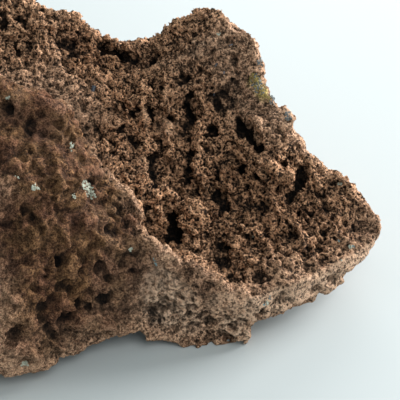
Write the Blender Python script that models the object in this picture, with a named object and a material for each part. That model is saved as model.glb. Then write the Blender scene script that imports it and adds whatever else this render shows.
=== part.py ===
"""Lava rock: one hand-sized lump of red-brown scoria that rests on three worn feet.

Blender 4.5, metres, +Z up. The rock is one solid. It is roughed out as overlapping convex chunks,
whose corners are surveyed below in millimetres. A voxel remesh welds the chunks, smoothing
weathers their creases and clouds of displacement roughen them. A last cut wears the feet flat.
"""

import bmesh
import bpy
from mathutils import Vector

MM = 0.001

# Corners of each chunk, in millimetres: x to the right, y to the back, z up from the ground.
CHUNKS = {
    # The big rounded knob that fills the front left corner.
    "front_knob": [
        (-46, 31, 70), (-54, 47, 80), (-70, 52, 88), (-90, 56, 90), (-112, 48, 86), (-130, 30, 66),
        (-138, 20, 38), (-126, -2, 10), (-102, -26, 12), (-78, -25, 24), (-70, -22, 5), (-52, -9, 4),
        (-36, 6, 7), (-33, 14, 40), (-62, 12, 70), (-92, 8, 74), (-60, 74, 30), (-116, 70, 30),
    ],
    # The crest that runs from the front knob down to the rim.
    "crest_upper": [
        (-50, 40, 74), (-42, 26, 64), (-35, 22, 58), (-29, 15, 51), (-22, 8, 42), (-40, 4, 8),
        (-20, 6, 5), (-62, 58, 44), (-34, 46, 36),
    ],
    "crest_lower": [
        (-25, 10, 46), (-15, 5, 37), (-6, 2, 31), (8, 1, 27), (16, 2, 25), (-24, 6, 7), (-11, 4, 4),
        (1, 3, 4), (12, 3, 7), (-18, 34, 28), (10, 24, 18),
    ],
    # The slab that carries the valley floor out to the rim and the pointed right corner.
    "slab": [
        (68, 46, 24), (55, 34, 22), (44, 27, 22), (33, 17, 23), (22, 8, 24), (12, 2, 26), (0, 42, 29),
        (62, 52, 31), (50, 60, 36), (64, 43, 14), (46, 27, 10), (28, 13, 8), (13, 3, 6), (50, 70, 8),
        (0, 44, 6),
    ],
    # The face that slopes from the spur and the back knob down into the valley.
    "valley_side": [
        (-8, 93, 61), (4, 86, 57), (16, 75, 51), (28, 60, 43), (40, 50, 34), (50, 42, 27),
        (-8, 81, 50), (6, 69, 43), (18, 52, 35), (32, 36, 27), (40, 84, 10), (0, 80, 6), (40, 40, 12),
    ],
    "valley_floor": [
        (-8, 81, 50), (6, 69, 43), (18, 52, 35), (31, 36, 27), (-22, 76, 44), (-12, 58, 36),
        (0, 42, 30), (13, 28, 26), (27, 22, 23), (0, 80, 6), (-30, 60, 6), (0, 30, 8),
    ],
    "valley_left": [
        (-22, 76, 44), (-12, 58, 36), (0, 42, 30), (-16, 33, 33), (-27, 43, 40), (-34, 62, 45),
        (-45, 76, 51), (-34, 92, 52), (-60, 70, 52), (-50, 50, 40), (-40, 60, 6), (0, 30, 8),
    ],
    "valley_head": [
        (-29, 96, 60), (-20, 86, 56), (-41, 91, 58), (-46, 106, 63), (-21, 104, 66), (-58, 93, 62),
        (-66, 98, 70), (-64, 88, 64), (-82, 96, 76), (-96, 88, 74), (-8, 90, 56), (-22, 76, 44),
        (-45, 76, 51), (-70, 70, 50), (-100, 70, 40), (-40, 80, 6), (-90, 100, 6), (-20, 110, 6),
    ],
    # The spur that falls from the back knob to the right corner.
    "spur_tip": [
        (69, 47, 25), (63, 52, 31), (54, 57, 38), (43, 63, 44), (64, 60, 12), (50, 78, 8), (66, 48, 15),
        (30, 60, 40), (30, 80, 30), (40, 50, 30),
    ],
    "spur_root": [
        (44, 62, 42), (34, 67, 48), (27, 75, 55), (20, 85, 62), (16, 94, 69), (48, 84, 14),
        (34, 108, 12), (6, 84, 52), (4, 100, 60), (22, 66, 46),
    ],
    # The rounded knob at the back.
    "back_knob": [
        (-4, 112, 92), (10, 108, 88), (16, 103, 81), (19, 95, 70), (-14, 116, 86), (-22, 119, 78),
        (-6, 92, 64), (-20, 106, 66), (-4, 132, 80), (14, 126, 66), (-22, 136, 60), (26, 112, 40),
        (-10, 142, 24), (24, 118, 10), (-8, 94, 50),
    ],
    # The wall between the two back summits, low at the saddle.
    "saddle": [
        (-20, 120, 72), (-31, 117, 69), (-42, 116, 71), (-46, 108, 63), (-22, 106, 64), (-20, 134, 60),
        (-50, 138, 60), (-30, 146, 12), (-30, 90, 20),
    ],
    # The tallest ridge, at the back left.
    "back_ridge": [
        (-43, 116, 73), (-51, 117, 81), (-62, 114, 87), (-74, 115, 94), (-98, 120, 101),
        (-120, 112, 92), (-138, 94, 60), (-134, 96, 14), (-112, 138, 60), (-70, 142, 58),
        (-66, 146, 10), (-48, 106, 62), (-72, 96, 70), (-96, 92, 76), (-118, 84, 66),
    ],
    # What fills the rock behind and below the faces above, its underside clear of the ground.
    "core": [
        (-126, 6, 12), (-80, -14, 10), (-36, 10, 9), (10, 8, 8), (48, 34, 12), (54, 60, 10), (34, 100, 9),
        (0, 132, 8), (-60, 138, 9), (-128, 104, 10), (-134, 40, 14), (-110, 90, 40), (-100, 20, 40),
        (-20, 30, 22), (20, 40, 20), (10, 90, 36), (-60, 110, 50), (0, 60, 3), (-60, 60, 3),
    ],
    "back_core": [
        (-122, 124, 58), (-90, 136, 66), (-46, 136, 58), (-16, 136, 56), (20, 118, 50), (38, 98, 34),
        (46, 90, 12), (22, 128, 9), (-44, 148, 10), (-112, 134, 10), (-132, 108, 14), (-100, 96, 66),
        (-46, 92, 52), (-14, 86, 48), (8, 78, 42),
    ],
    "left_core": [
        (-92, 84, 70), (-116, 90, 64), (-134, 92, 44), (-136, 70, 40), (-134, 46, 48), (-116, 50, 68),
        (-88, 62, 66), (-138, 60, 16), (-70, 70, 52), (-70, 90, 20),
    ],
    # The feet, which reach a little below the ground until they are worn flat.
    "front_foot": [
        (-18, 4, 14), (-12, 4, -5), (-2, 3, -6), (6, 5, -4), (14, 6, 12), (-10, 16, -5), (4, 18, -5),
        (-16, 26, 10), (12, 28, 10),
    ],
    "left_foot": [
        (-110, -6, 14), (-104, 4, -5), (-90, -8, -6), (-78, -6, -4), (-66, -8, 12), (-80, 10, -6),
        (-98, 18, -5), (-110, 30, 12), (-70, 24, 12),
    ],
    "back_foot": [
        (-88, 128, 12), (-78, 120, -5), (-60, 128, -6), (-44, 118, -5), (-28, 124, 12),
        (-70, 104, -6), (-52, 102, -5), (-88, 90, 10), (-34, 90, 10),
    ],
}

VOXEL = 2.6 * MM                    # grain of the remesh that welds the chunks
SMOOTH_STEPS = 6                    # weathering of the creases between chunks
LUMPS = (22.0 * MM, 5.0 * MM)       # size and height of the broad lumps
KNUCKLES = (9.0 * MM, 2.6 * MM)     # size and height of the small ones
FACET_SHARE = 0.24                  # share of the remeshed triangles that the solid keeps
GROUND_MARGIN = 20 * MM             # how far the wear cutter reaches past the rock


def clear_scene():
    for obj in list(bpy.data.objects):
        bpy.data.objects.remove(obj)


def rock_material():
    """Matt red-brown scoria."""
    material = bpy.data.materials.new("scoria")
    material.use_nodes = True
    shader = material.node_tree.nodes["Principled BSDF"]
    shader.inputs["Base Color"].default_value = (0.16, 0.085, 0.055, 1.0)
    shader.inputs["Roughness"].default_value = 0.95
    shader.inputs["Metallic"].default_value = 0.0
    return material


def add_chunk(bm, corners):
    """Adds the convex hull of the corners to the bmesh."""
    points = [bm.verts.new(Vector(corner) * MM) for corner in corners]
    hull = bmesh.ops.convex_hull(bm, input=points)
    inside = {v for v in hull["geom_interior"] if isinstance(v, bmesh.types.BMVert)}
    bmesh.ops.delete(bm, geom=list(inside), context="VERTS")


def roughed_out(name):
    """The overlapping chunks as one mesh object."""
    bm = bmesh.new()
    for corners in CHUNKS.values():
        add_chunk(bm, corners)
    bmesh.ops.recalc_face_normals(bm, faces=bm.faces)
    mesh = bpy.data.meshes.new(name)
    bm.to_mesh(mesh)
    bm.free()
    rock = bpy.data.objects.new(name, mesh)
    bpy.context.scene.collection.objects.link(rock)
    return rock


def add_remesh(rock, name):
    modifier = rock.modifiers.new(name, "REMESH")
    modifier.mode = "VOXEL"
    modifier.voxel_size = VOXEL


def add_clouds(rock, name, size, height):
    """Pushes the surface in and out by a cloud pattern."""
    texture = bpy.data.textures.new(name, "CLOUDS")
    texture.noise_scale = size
    texture.noise_depth = 1
    modifier = rock.modifiers.new(name, "DISPLACE")
    modifier.texture = texture
    modifier.texture_coords = "LOCAL"
    modifier.direction = "NORMAL"
    modifier.strength = height
    modifier.mid_level = 0.5


def weather(rock):
    """Welds the chunks, rounds their creases, roughens them and thins the triangles."""
    add_remesh(rock, "weld_chunks")
    smooth = rock.modifiers.new("round_creases", "SMOOTH")
    smooth.factor = 0.5
    smooth.iterations = SMOOTH_STEPS
    add_clouds(rock, "lumps", *LUMPS)
    add_clouds(rock, "knuckles", *KNUCKLES)
    add_remesh(rock, "even_out")
    thin = rock.modifiers.new("thin_out", "DECIMATE")
    thin.ratio = FACET_SHARE


def evaluated_corners(rock):
    """Lowest and highest corner of the rock as its modifiers leave it."""
    graph = bpy.context.evaluated_depsgraph_get()
    points = [Vector(corner) for corner in rock.evaluated_get(graph).bound_box]
    low = Vector([min(p[axis] for p in points) for axis in range(3)])
    high = Vector([max(p[axis] for p in points) for axis in range(3)])
    return low, high


def wear_feet(rock):
    """Cuts off what reaches below the ground, so that the rock rests on flat worn feet."""
    low, high = evaluated_corners(rock)
    bm = bmesh.new()
    bmesh.ops.create_cube(bm, size=1.0)
    size = high - low + Vector((1, 1, 0)) * 2 * GROUND_MARGIN
    size.z = GROUND_MARGIN
    bmesh.ops.scale(bm, vec=size, verts=bm.verts)
    centre = (low + high) / 2
    bmesh.ops.translate(bm, vec=(centre.x, centre.y, -GROUND_MARGIN / 2), verts=bm.verts)
    mesh = bpy.data.meshes.new("wear_cutter")
    bm.to_mesh(mesh)
    bm.free()
    cutter = bpy.data.objects.new("wear_cutter", mesh)
    bpy.context.scene.collection.objects.link(cutter)
    cutter.hide_render = True
    cutter.display_type = "WIRE"
    cutter.parent = rock
    cut = rock.modifiers.new("wear_feet", "BOOLEAN")
    cut.operation = "DIFFERENCE"
    cut.object = cutter


def centre_on_ground(rock):
    """Moves the rock so that the middle of its footprint box is the origin."""
    low, high = evaluated_corners(rock)
    rock.location = (-(low.x + high.x) / 2, -(low.y + high.y) / 2, 0.0)


def main():
    clear_scene()
    rock = roughed_out("lava_rock")
    rock.data.materials.append(rock_material())
    weather(rock)
    wear_feet(rock)
    centre_on_ground(rock)


if __name__ == "__main__":
    main()
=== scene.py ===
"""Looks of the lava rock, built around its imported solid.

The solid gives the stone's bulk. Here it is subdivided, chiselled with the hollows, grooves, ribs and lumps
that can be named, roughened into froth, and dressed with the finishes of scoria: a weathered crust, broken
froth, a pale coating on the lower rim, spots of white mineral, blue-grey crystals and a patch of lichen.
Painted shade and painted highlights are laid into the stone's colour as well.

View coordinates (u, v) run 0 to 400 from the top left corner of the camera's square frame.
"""

import logging
import math
from dataclasses import dataclass
from enum import Enum

import bmesh
import bpy
import numpy as np
from mathutils import Matrix, Vector, noise
from mathutils.bvhtree import BVHTree


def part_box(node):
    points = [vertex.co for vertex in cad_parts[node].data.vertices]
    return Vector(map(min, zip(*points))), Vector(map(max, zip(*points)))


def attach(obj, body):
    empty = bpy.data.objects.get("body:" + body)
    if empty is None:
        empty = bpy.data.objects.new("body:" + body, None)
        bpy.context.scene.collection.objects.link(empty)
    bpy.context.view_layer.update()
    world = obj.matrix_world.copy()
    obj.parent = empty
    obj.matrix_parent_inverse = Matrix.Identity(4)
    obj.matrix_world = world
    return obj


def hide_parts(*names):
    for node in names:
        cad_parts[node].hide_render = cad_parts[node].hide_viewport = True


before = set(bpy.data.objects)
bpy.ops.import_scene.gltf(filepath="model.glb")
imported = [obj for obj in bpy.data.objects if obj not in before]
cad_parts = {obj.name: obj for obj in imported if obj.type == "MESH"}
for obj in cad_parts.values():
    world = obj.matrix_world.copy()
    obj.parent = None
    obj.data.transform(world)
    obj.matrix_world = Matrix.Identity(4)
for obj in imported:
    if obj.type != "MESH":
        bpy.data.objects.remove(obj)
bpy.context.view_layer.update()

NODE = "lava_rock"
NODE_LOW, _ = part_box(NODE)
BODY = "root"
MM = 0.001
TINY = 1e-9
DRIFT_SEED = 3
LOG = logging.getLogger("lava_rock")

Socket = bpy.types.NodeSocket
Outputs = bpy.types.NodeOutputs
Pixel = tuple[float, float]


# ---------------------------------------------------------------- the view


@dataclass(frozen=True)
class View:
    """Where the camera stands. Lengths in millimetres, angles in degrees.

    Attributes:
        target: what it looks at, measured from the solid's lowest corner, so that it follows the part.
        elevation: how far down it looks.
        distance: from the eye to the target.
        half_width: half of what the frame spans at the target.
        frame_side: side of the square frame in pixels.
        sensor: width of the camera's sensor.
        search: how far before and behind the target a ray that misses looks for the nearest edge.
        search_stops: how many places it tries.
    """

    target: tuple[float, float, float] = (129.09, 76.75, 35.0)
    elevation: float = 35.0
    distance: float = 520.0
    half_width: float = 80.0
    frame_side: float = 400.0
    sensor: float = 36.0
    search: float = 120.0
    search_stops: int = 61

    @property
    def aim(self) -> np.ndarray:
        """The point that the camera looks at, in millimetres."""
        return np.array(NODE_LOW) / MM + np.array(self.target)

    @property
    def axes(self) -> np.ndarray:
        """Rows are the frame's right, up and forward directions."""
        lift = math.radians(self.elevation)
        return np.array([
            (1.0, 0.0, 0.0),
            (0.0, math.sin(lift), math.cos(lift)),
            (0.0, math.cos(lift), -math.sin(lift)),
        ])

    @property
    def eye(self) -> np.ndarray:
        """The camera's place in millimetres."""
        return self.aim - self.distance * self.axes[2]

    @property
    def focal(self) -> float:
        """Focal length in frame pixels."""
        return self.frame_side / 2 * self.distance / self.half_width

    @property
    def pixel(self) -> float:
        """Millimetres that one pixel spans at the target."""
        return 2 * self.half_width / self.frame_side

    def project(self, points: np.ndarray) -> tuple[np.ndarray, np.ndarray]:
        """Puts points into the frame.

        Args:
            points: n by 3 array in millimetres.

        Returns:
            An n by 2 array of view coordinates, and the n distances along the view.
        """
        seen = (points - self.eye) @ self.axes.T
        middle = self.frame_side / 2
        across = middle + self.focal * seen[:, 0] / seen[:, 2]
        down = middle - self.focal * seen[:, 1] / seen[:, 2]
        return np.stack([across, down], axis=1), seen[:, 2]

    def ray(self, at: Pixel) -> Vector:
        """Direction from the eye through a view coordinate."""
        middle = self.frame_side / 2
        right, up, forward = self.axes
        aim = forward + right * (at[0] - middle) / self.focal + up * (middle - at[1]) / self.focal
        return Vector(aim).normalized()

    def hit(self, surface: BVHTree, at: Pixel) -> tuple[Vector, Vector]:
        """The point and normal of a surface that a view coordinate shows.

        Args:
            surface: tree of the surface's triangles, in millimetres.
            at: view coordinate; one just past the outline takes the nearest point on the surface.

        Returns:
            The point struck and the surface's normal there.
        """
        eye, ray = Vector(self.eye), self.ray(at)
        place, normal, _, _ = surface.ray_cast(eye, ray)
        if place is None:
            reach = np.linspace(self.distance - self.search, self.distance + self.search, self.search_stops)
            beside = [surface.find_nearest(eye + ray * float(far)) for far in reach]
            place, normal, _, _ = min(beside, key=lambda found: found[3])
        return place, normal

    def make_camera(self) -> None:
        """Adds the camera and makes it the scene's."""
        lens = bpy.data.cameras.new("camera")
        lens.sensor_width = self.sensor
        lens.lens = self.sensor / 2 * self.distance / self.half_width
        lens.clip_start = 0.01
        camera = new_object("camera", lens)
        camera.location = Vector(self.eye) * MM
        camera.rotation_euler = (math.radians(90.0 - self.elevation), 0.0, 0.0)
        bpy.context.scene.camera = camera


VIEW = View()


# ---------------------------------------------------------------- node graphs


class Graph:
    """A node tree with short calls for the nodes that this rock's finishes and reliefs use."""

    def __init__(self, tree: bpy.types.NodeTree) -> None:
        """Works on an existing tree.

        Args:
            tree: shader tree, shader group or geometry group.
        """
        self.tree = tree
        self.is_shader = tree.bl_idname == "ShaderNodeTree"

    def node(self, kind: str, inputs: dict[str | int, object] | None = None, **settings: object) -> Outputs:
        """Adds a node.

        Args:
            kind: the node's type name.
            inputs: what its inputs get, a socket or a constant, by their names or numbers.
            **settings: properties to set on it first.

        Returns:
            The new node's outputs.
        """
        made = self.tree.nodes.new(kind)
        for name, value in settings.items():
            setattr(made, name, value)
        for name, value in (inputs or {}).items():
            if isinstance(value, Socket):
                self.tree.links.new(value, made.inputs[name])
            else:
                made.inputs[name].default_value = value
        return made.outputs

    def math(self, operation: str, a: object, b: object = 0.0, c: object = 0.0) -> Socket:
        """One step of arithmetic on numbers."""
        return self.node("ShaderNodeMath", {0: a, 1: b, 2: c}, operation=operation)[0]

    def product(self, first: object, *others: object) -> Socket:
        """Several numbers multiplied."""
        for other in others:
            first = self.math("MULTIPLY", first, other)
        return first

    def total(self, start: object, *parts: tuple[object, object]) -> Socket:
        """The start, plus each part times its weight."""
        for part, weight in parts:
            start = self.math("MULTIPLY_ADD", part, weight, start)
        return start

    def faded(self, value: object, mask: Socket, loss: float) -> Socket:
        """A number that loses that share of itself where the mask is full."""
        return self.product(value, self.total(1.0, (mask, -loss)))

    def blend(self, share: Socket, a: Socket, b: Socket) -> Socket:
        """A number between a and b."""
        return self.total(a, (share, self.math("SUBTRACT", b, a)))

    def vector(self, operation: str, a: object, b: object = (0.0, 0.0, 0.0)) -> Socket:
        """One step of arithmetic on vectors."""
        made = self.node("ShaderNodeVectorMath", {0: a, 1: b}, operation=operation)
        return made["Value"] if operation == "DOT_PRODUCT" else made[0]

    def scaled(self, vector: object, factor: object) -> Socket:
        """A vector times a number."""
        return self.node("ShaderNodeVectorMath", {0: vector, "Scale": factor}, operation="SCALE")[0]

    def span(self, value: object, low: object, high: object, start: float = 0.0, end: float = 1.0) -> Socket:
        """Eases a number from start to end as it goes from low to high."""
        ends = {0: value, 1: low, 2: high, 3: start, 4: end}
        return self.node("ShaderNodeMapRange", ends, interpolation_type="SMOOTHSTEP", clamp=True)[0]

    def noises(self, at: object, size: float, detail: float, roughness: float) -> Outputs:
        """Soft noise as a number and as a colour, whose lumps are about size across."""
        knobs = {"Vector": at, "Scale": 1.0 / size, "Detail": detail, "Roughness": roughness}
        return self.node("ShaderNodeTexNoise", knobs)

    def noise(self, at: object, size: float, detail: float = 2.0, roughness: float = 0.5) -> Socket:
        """Soft noise from 0 to 1, whose lumps are about size across."""
        return self.noises(at, size, detail, roughness)[0]

    def crease(self, at: object, size: float) -> Socket:
        """How far noise is from its middle: 0 along winding creases about size apart."""
        return self.math("ABSOLUTE", self.math("SUBTRACT", self.noise(at, size), 0.5))

    def warped(self, at: object, size: float, reach: float) -> Socket:
        """Coordinates pushed about by noise.

        Args:
            at: the coordinates.
            size: size of the pushes' lumps.
            reach: how far a point may move.

        Returns:
            The moved coordinates.
        """
        colour = self.noises(at, size, detail=1.0, roughness=0.5)["Color"]
        push = self.vector("SUBTRACT", colour, (0.5, 0.5, 0.5))
        return self.vector("ADD", at, self.scaled(push, 2.0 * reach))

    def combed(self, at: object, turn: tuple[float, float, float], stretch: float) -> Socket:
        """Coordinates in which every pattern is drawn out along one direction.

        Args:
            at: the coordinates.
            turn: degrees about x, y and z that bring the y axis to that direction.
            stretch: how many times longer the pattern becomes.

        Returns:
            The new coordinates.
        """
        aim = {"Vector": at, "Rotation": tuple(math.radians(angle) for angle in turn)}
        turned = self.node("ShaderNodeVectorRotate", aim, rotation_type="EULER_XYZ", invert=True)
        return self.vector("MULTIPLY", turned[0], (1.0, 1.0 / stretch, 1.0))

    def bubbles(self, at: object, size: float, least: float, most: float) -> Socket:
        """Burst bubbles of differing widths, round in section.

        Args:
            at: the coordinates.
            size: spacing of the bubbles.
            least: radius of the smallest, in spacings; below 0 leaves some out.
            most: radius of the largest, in spacings.

        Returns:
            Depth in the coordinates' unit: 0 between bubbles, and the radius in a bubble's middle.
        """
        cells = self.node("ShaderNodeTexVoronoi", {"Vector": at, "Scale": 1.0 / size}, feature="F1")
        distance = cells["Distance"]
        chance = self.part_of(cells["Color"], "X")
        radius = self.math("MAXIMUM", self.total(least, (chance, most - least)), 0.0)
        square = self.math("SUBTRACT", self.product(radius, radius), self.product(distance, distance))
        return self.product(self.math("SQRT", self.math("MAXIMUM", square, 0.0)), size)

    def speckle(self, at: object, size: float, low: float, high: float) -> Socket:
        """Irregular specks from the shared shader group, 0 between them and 1 on them.

        Args:
            at: the coordinates.
            size: size of the specks in the same unit.
            low: noise value where a speck starts.
            high: noise value where it is full.

        Returns:
            The mask.
        """
        knobs = {"Place": at, "Size": size, "Low": low, "High": high}
        return self.node("ShaderNodeGroup", knobs, node_tree=speckle_group())["Mask"]

    def mix(self, factor: object, a: object, b: object) -> Socket:
        """A colour between a and b."""
        return self.node("ShaderNodeMix", {"Factor": factor, 6: a, 7: b}, data_type="RGBA")[2]

    def sampled(self, surface: Socket, data_type: str, value: Socket) -> Socket:
        """A value of another surface, read where that surface is nearest."""
        read = {"Mesh": surface, "Value": value}
        return self.node("GeometryNodeSampleNearestSurface", read, data_type=data_type)["Value"]

    def blurred(self, value: Socket, steps: int) -> Socket:
        """A vector averaged with its neighbours' so many times over."""
        made = self.node("GeometryNodeBlurAttribute", {"Iterations": steps}, data_type="FLOAT_VECTOR")
        taken = next(socket for socket in made[0].node.inputs if socket.enabled)
        self.tree.links.new(value, taken)
        return next(socket for socket in made if socket.enabled)

    def random_vector(self, least: tuple[float, ...], most: tuple[float, ...], seed: int) -> Socket:
        """A random vector for each point."""
        ends = {0: least, 1: most, "Seed": seed}
        return self.node("FunctionNodeRandomValue", ends, data_type="FLOAT_VECTOR")[0]

    def stored(self, source: Socket, name: str, value: object) -> Socket:
        """The geometry, with a number written on each of its points."""
        written = {"Geometry": source, "Name": name, "Value": value}
        return self.node("GeometryNodeStoreNamedAttribute", written, data_type="FLOAT", domain="POINT")[0]

    def part_of(self, vector: Socket, axis: str) -> Socket:
        """One of a vector's three numbers."""
        return self.node("ShaderNodeSeparateXYZ", {0: vector})[axis]

    def position(self) -> Socket:
        """Where each point is."""
        return self.node("GeometryNodeInputPosition")[0]

    def normal(self) -> Socket:
        """Each point's normal."""
        return self.node("GeometryNodeInputNormal")[0]

    def object_place(self) -> Socket:
        """Object coordinates in millimetres."""
        return self.scaled(self.node("ShaderNodeTexCoord")["Object"], 1.0 / MM)

    def mesh_of(self, piece: bpy.types.Object) -> Socket:
        """Another object's mesh."""
        return self.node("GeometryNodeObjectInfo", {"Object": piece})["Geometry"]

    def attribute(self, name: str) -> Socket:
        """A number painted on the mesh."""
        if self.is_shader:
            return self.node("ShaderNodeAttribute", attribute_name=name)["Fac"]
        return self.node("GeometryNodeInputNamedAttribute", {"Name": name}, data_type="FLOAT")["Attribute"]


def speckle_group() -> bpy.types.NodeTree:
    """The shader group for irregular specks, made once and shared by every finish.

    Returns:
        A group with the inputs Place, Size, Low and High and the output Mask.
    """
    name = "speckle"
    if name in bpy.data.node_groups:
        return bpy.data.node_groups[name]
    tree = bpy.data.node_groups.new(name, "ShaderNodeTree")
    tree.interface.new_socket("Place", in_out="INPUT", socket_type="NodeSocketVector")
    for label in ("Size", "Low", "High"):
        tree.interface.new_socket(label, in_out="INPUT", socket_type="NodeSocketFloat")
    tree.interface.new_socket("Mask", in_out="OUTPUT", socket_type="NodeSocketFloat")
    graph = Graph(tree)
    given = graph.node("NodeGroupInput")
    place = graph.scaled(given["Place"], graph.math("DIVIDE", 1.0, given["Size"]))
    specks = graph.noise(place, size=1.0, detail=4.0, roughness=0.7)
    graph.node("NodeGroupOutput", {"Mask": graph.span(specks, given["Low"], given["High"])})
    return tree


# ---------------------------------------------------------------- chisel work


class Sense(Enum):
    """Which way a stroke moves the surface."""

    IN = -1.0
    OUT = 1.0


REACH_MARGIN = 4.0
REACH_FADE = 1.8


@dataclass(frozen=True)
class Stroke:
    """A hollow, groove, rib or lump, drawn as a path over the rock.

    Attributes:
        name: what it is.
        path: view coordinates that it runs through; one point makes it round.
        width: its full width in view pixels.
        depth: how far it moves the surface, in millimetres.
        sense: in or out.
        soft: share of its half width that its side takes, from 0, a cliff, to 1, a gentle bowl.
        sag: how far the move leans down from the surface's normal.
    """

    name: str
    path: tuple[Pixel, ...]
    width: float
    depth: float
    sense: Sense = Sense.IN
    soft: float = 0.6
    sag: float = 0.0

    def pressed(
        self, seen: np.ndarray, far: np.ndarray, swelling: np.ndarray, surface: BVHTree
    ) -> tuple[np.ndarray, np.ndarray]:
        """The points that the stroke moves, and how far.

        Args:
            seen: n by 2 view coordinates of the points.
            far: the points' distances along the view.
            swelling: how wide the stroke is at each point beside its full width.
            surface: the surface that the path is drawn on.

        Returns:
            Indices of the moved points, and their moves in millimetres.
        """
        places = [VIEW.hit(surface, at) for at in self.path]
        _, path_far = VIEW.project(np.array([place for place, _ in places]))
        normal = sum((n for _, n in places), Vector()).normalized()
        normal = (normal - Vector((0.0, 0.0, self.sag))).normalized()
        stops = np.array(self.path, float)
        half = self.width / 2
        low, high = stops.min(axis=0) - self.width, stops.max(axis=0) + self.width
        near = ((seen > low) & (seen < high)).all(axis=1)
        chosen = np.flatnonzero(near)
        seen, far = seen[chosen], far[chosen]
        if len(stops) == 1:
            stops = np.repeat(stops, 2, axis=0)
            path_far = np.repeat(path_far, 2)
        nearest = np.full(len(chosen), np.inf)
        anchor = np.zeros(len(chosen))
        for start, end, near_far, end_far in zip(stops, stops[1:], path_far, path_far[1:]):
            run = end - start
            share = np.clip(((seen - start) @ run) / max(run @ run, TINY), 0.0, 1.0)
            gap = np.linalg.norm(seen - start - share[:, None] * run, axis=1)
            closer = gap < nearest
            nearest = np.where(closer, gap, nearest)
            anchor = np.where(closer, near_far + share * (end_far - near_far), anchor)
        side = 1.0 - eased(nearest / swelling[chosen], half * (1.0 - self.soft), half)
        reach = self.width * VIEW.pixel + REACH_MARGIN
        weight = side * (1.0 - eased(np.abs(far - anchor), reach, reach * REACH_FADE))
        push = np.array(normal) * self.depth * self.sense.value
        return chosen, weight[:, None] * push


def eased(value: np.ndarray, low: float, high: float) -> np.ndarray:
    """Smooth step from 0 at low to 1 at high."""
    share = np.clip((value - low) / max(high - low, TINY), 0.0, 1.0)
    return share * share * (3.0 - 2.0 * share)


Run = tuple[str, float, float, *tuple[Pixel, ...]]


def strokes(soft: float, sense: Sense, sag: float, *runs: Run) -> tuple[Stroke, ...]:
    """Strokes of one softness.

    Args:
        soft: share of the half width that their sides take.
        sense: in or out.
        sag: how far their moves lean down.
        *runs: the name, width, depth and path of each.

    Returns:
        One stroke for each run.
    """
    return tuple(Stroke(name, tuple(path), width, depth, sense, soft, sag)
                 for name, width, depth, *path in runs)


def dots(
    name: str, width: float, depth: float, *places: Pixel, sense: Sense = Sense.IN, soft: float = 0.4
) -> tuple[Stroke, ...]:
    """Round strokes of one size.

    Args:
        name: what each of them is.
        width: their width in view pixels.
        depth: how far they move the surface, in millimetres.
        *places: view coordinate of each.
        sense: in or out.
        soft: share of the half width that the side takes.

    Returns:
        One stroke for each place.
    """
    return tuple(Stroke(name, (place,), width, depth, sense, soft) for place in places)


STEEP_CUTS = strokes(
    0.3, Sense.IN, 0.0,
    ("cave under the saddle", 16, 8.0, (109, 49), (120, 53)),
    ("cave under the saddle, right", 11, 4.0, (126, 58), (134, 60)),
    ("round hole by the saddle", 11, 6.0, (153, 59)),
    ("hole in the valley wall", 12, 5.0, (147, 110), (151, 118)),
    ("round bubble in the wall", 10, 9.0, (172, 122)),
    ("small bubble in the wall", 7, 6.0, (158, 124)),
    ("slot of the low wall", 7, 4.0, (177, 187), (181, 198)),
    ("slot under the flank lobe", 14, 7.5, (238, 118), (244, 130), (256, 142)),
    ("deep hole of the valley", 20, 11.0, (172, 217), (175, 226), (175, 234)),
    ("crack below the ledge", 5, 4.0, (184, 240), (196, 237), (204, 236)),
    ("notch in the crest", 7, 4.5, (118, 204), (124, 214), (129, 224)),
    ("slit of the low front", 6, 3.0, (188, 309), (196, 310)),
    ("slot of the rim", 5, 2.8, (260, 317), (264, 311)),
)

CUTS = strokes(
    0.4, Sense.IN, 0.0,
    ("cracks under the flank", 7, 3.5, (222, 150), (232, 153), (246, 152)),
    ("recess behind the tan lump", 16, 6.0, (301, 172), (299, 184), (293, 196)),
    ("hole before the tan lump", 10, 4.5, (254, 172), (260, 178)),
    ("slot beside the tan lump", 8, 4.5, (263, 184), (269, 194)),
    ("hole below the ledge", 9, 4.0, (199, 248)),
    ("curved slit of the slab", 8, 3.4, (214, 254), (224, 256), (230, 260)),
    ("slit by the crest", 4, 3.0, (182, 254), (187, 264), (191, 274)),
    ("hole by the crest", 11, 4.0, (138, 228)),
    ("groove on the shoulder", 7, 3.0, (108, 225), (114, 232)),
    ("short groove, right", 7, 3.5, (101, 268), (106, 275), (111, 281)),
    ("thin groove", 5, 2.5, (93, 300), (106, 298), (116, 294)),
    ("pair of dark pits", 9, 3.6, (79, 303), (88, 307)),
    ("crack of the low front", 4, 2.0, (186, 317), (196, 319), (207, 316)),
    ("crack over the foot", 5, 2.6, (206, 324), (216, 324), (228, 319)),
    ("crack over the foot, right", 5, 2.6, (231, 326), (240, 323)),
    ("dark side of the foot", 8, 3.0, (158, 331), (170, 334)),
    ("dark side of the foot, low", 6, 2.4, (178, 339), (186, 341)),
    ("notch of the foot", 6, 2.4, (209, 338), (212, 345)),
    ("hollow of the foot", 7, 2.8, (222, 337), (230, 341)),
    ("crack at the rim's end", 4, 1.6, (276, 299), (284, 295)),
    ("shade under the rim", 5, 3.0, (292, 304), (300, 302), (309, 299)),
    ("crack of the rim", 4, 1.4, (313, 290), (320, 286)),
    ("hole under the rim", 5, 3.0, (329, 280), (336, 279)),
    ("seam under the rim", 4, 1.8, (336, 277), (346, 272), (353, 268)),
)

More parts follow.
